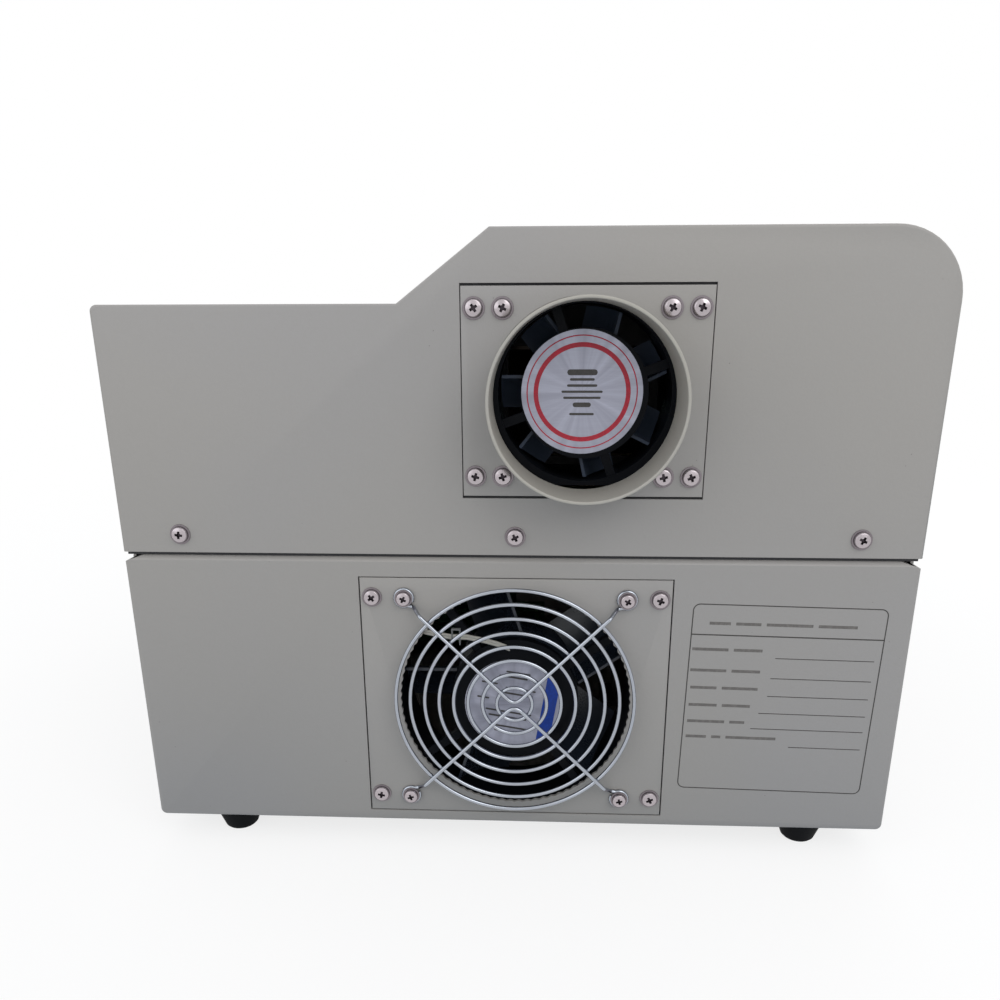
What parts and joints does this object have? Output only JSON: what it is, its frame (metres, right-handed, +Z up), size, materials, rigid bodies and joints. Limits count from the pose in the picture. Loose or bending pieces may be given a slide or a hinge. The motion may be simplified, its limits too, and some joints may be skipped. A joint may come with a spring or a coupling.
{
  "type": "infrared reflow oven",
  "caption": "Bench infrared reflow oven in a beige stepped steel case, with a sliding drawer, an extraction fan with a round collar and a cooling fan behind a wire guard.",
  "frame": {"origin": "on the bench, under the centre of the casing", "axes": "+Z up, +Y towards the rear with the fans, +X towards the low side of the stepped casing"},
  "size_m": [0.3757, 0.486, 0.2955],
  "materials": {
    "beige_paint": "powder coat, satin",
    "zinc_sheet": "zinc plated",
    "black_steel": "black coated",
    "stainless": "brushed",
    "screw_steel": "nickel plated",
    "guard_chrome": "bright",
    "black_plastic": "moulded",
    "panel_plastic": "glossy",
    "key_plastic": "moulded",
    "rocker_red": "moulded",
    "foot_rubber": "matte",
    "seal_rubber": "matte",
    "window_glass": "clear",
    "quartz": "frosted",
    "reflector_mirror": "polished",
    "ceramic": "unglazed",
    "ceramic_wool": "fibrous",
    "circuit_board": "solder mask",
    "display": "liquid crystal",
    "pin_brass": "plain",
    "core_steel": "lacquered",
    "heat_sink": "extruded",
    "module_plastic": "moulded"
  },
  "bodies": {
    "casing": {"base_casing": "beige_paint", "deck_plate": "black_steel", "cover": "beige_paint", "foot_front_left": "foot_rubber", "foot_front_right": "foot_rubber", "foot_rear_left": "foot_rubber", "foot_rear_right": "foot_rubber", "foot_screws": "screw_steel", "panel_screws": "screw_steel", "exhaust_plate": "beige_paint", "exhaust_collar": "beige_paint", "exhaust_bracket": "black_steel", "exhaust_duct": "black_steel", "exhaust_fan_frame": "black_plastic", "exhaust_fan_screws": "screw_steel", "cooling_plate": "beige_paint", "cooling_bracket": "black_steel", "cooling_fan_frame": "black_plastic", "wire_guard": "guard_chrome", "cooling_fan_screws": "screw_steel", "fan_nuts": "screw_steel", "chamber_liner": "stainless", "chamber_insulation": "ceramic_wool", "reflector": "reflector_mirror", "heater_tubes": "quartz", "heater_caps": "ceramic", "heater_rails": "stainless", "temperature_probe": "stainless", "slide_fixed_left": "zinc_sheet", "slide_fixed_right": "zinc_sheet", "control_panel": "panel_plastic", "display_module": "display", "key_board": "circuit_board", "mains_inlet": "black_plastic", "inlet_pins": "pin_brass", "switch_housing": "black_plastic", "control_board": "circuit_board", "transformer": "core_steel", "heat_sink": "heat_sink", "solid_state_relay": "module_plastic", "terminal_block": "module_plastic"},
    "drawer": {"drawer_frame": "stainless", "drawer_front": "beige_paint", "window_glass": "window_glass", "window_bezel": "black_plastic", "drawer_handle": "guard_chrome", "tray_rack": "stainless", "door_seal": "seal_rubber", "slide_inner_left": "zinc_sheet", "slide_inner_right": "zinc_sheet"},
    "middle_left": {"slide_middle_left": "zinc_sheet"},
    "middle_right": {"slide_middle_right": "zinc_sheet"},
    "exhaust_rotor": {"exhaust_fan_rotor": "black_plastic"},
    "cooling_rotor": {"cooling_fan_rotor": "black_plastic"},
    "rocker": {"switch_rocker": "rocker_red"},
    "button_1": {"key_1": "key_plastic"},
    "button_2": {"key_2": "key_plastic"},
    "button_3": {"key_3": "key_plastic"},
    "button_4": {"key_4": "key_plastic"},
    "button_5": {"key_5": "key_plastic"}
  },
  "joints": [
    {"name": "drawer_slide", "type": "slide", "parent": "casing", "child": "drawer", "axis": [0, -1, 0], "range_m": [0, 0.3]},
    {"name": "middle_left_slide", "type": "slide", "parent": "casing", "child": "middle_left", "axis": [0, -1, 0], "range_m": [0, 0.15]},
    {"name": "middle_right_slide", "type": "slide", "parent": "casing", "child": "middle_right", "axis": [0, -1, 0], "range_m": [0, 0.15]},
    {"name": "exhaust_fan_spin", "type": "hinge", "parent": "casing", "child": "exhaust_rotor", "pos_m": [-0.0302, 0.2, 0.2278], "axis": [0, 1, 0], "continuous": true},
    {"name": "cooling_fan_spin", "type": "hinge", "parent": "casing", "child": "cooling_rotor", "pos_m": [0, 0.195, 0.082], "axis": [0, 1, 0], "continuous": true},
    {"name": "rocker_tip", "type": "hinge", "parent": "casing", "child": "rocker", "pos_m": [0.179, 0.145, 0.059], "axis": [0, -1, 0], "range_deg": [0, 20]},
    {"name": "key_1_press", "type": "slide", "parent": "casing", "child": "button_1", "axis": [0, 1, 0], "range_m": [0, 0.001], "stiffness_N_per_m": 800, "springref_m": -0.0005},
    {"name": "key_2_press", "type": "slide", "parent": "casing", "child": "button_2", "axis": [0, 1, 0], "range_m": [0, 0.001], "stiffness_N_per_m": 800, "springref_m": -0.0005},
    {"name": "key_3_press", "type": "slide", "parent": "casing", "child": "button_3", "axis": [0, 1, 0], "range_m": [0, 0.001], "stiffness_N_per_m": 800, "springref_m": -0.0005},
    {"name": "key_4_press", "type": "slide", "parent": "casing", "child": "button_4", "axis": [0, 1, 0], "range_m": [0, 0.001], "stiffness_N_per_m": 800, "springref_m": -0.0005},
    {"name": "key_5_press", "type": "slide", "parent": "casing", "child": "button_5", "axis": [0, 1, 0], "range_m": [0, 0.001], "stiffness_N_per_m": 800, "springref_m": -0.0005}
  ],
  "couplings": [
    {"joint": "middle_left_slide", "follows": "drawer_slide", "ratio": 0.5},
    {"joint": "middle_right_slide", "follows": "drawer_slide", "ratio": 0.5}
  ]
}
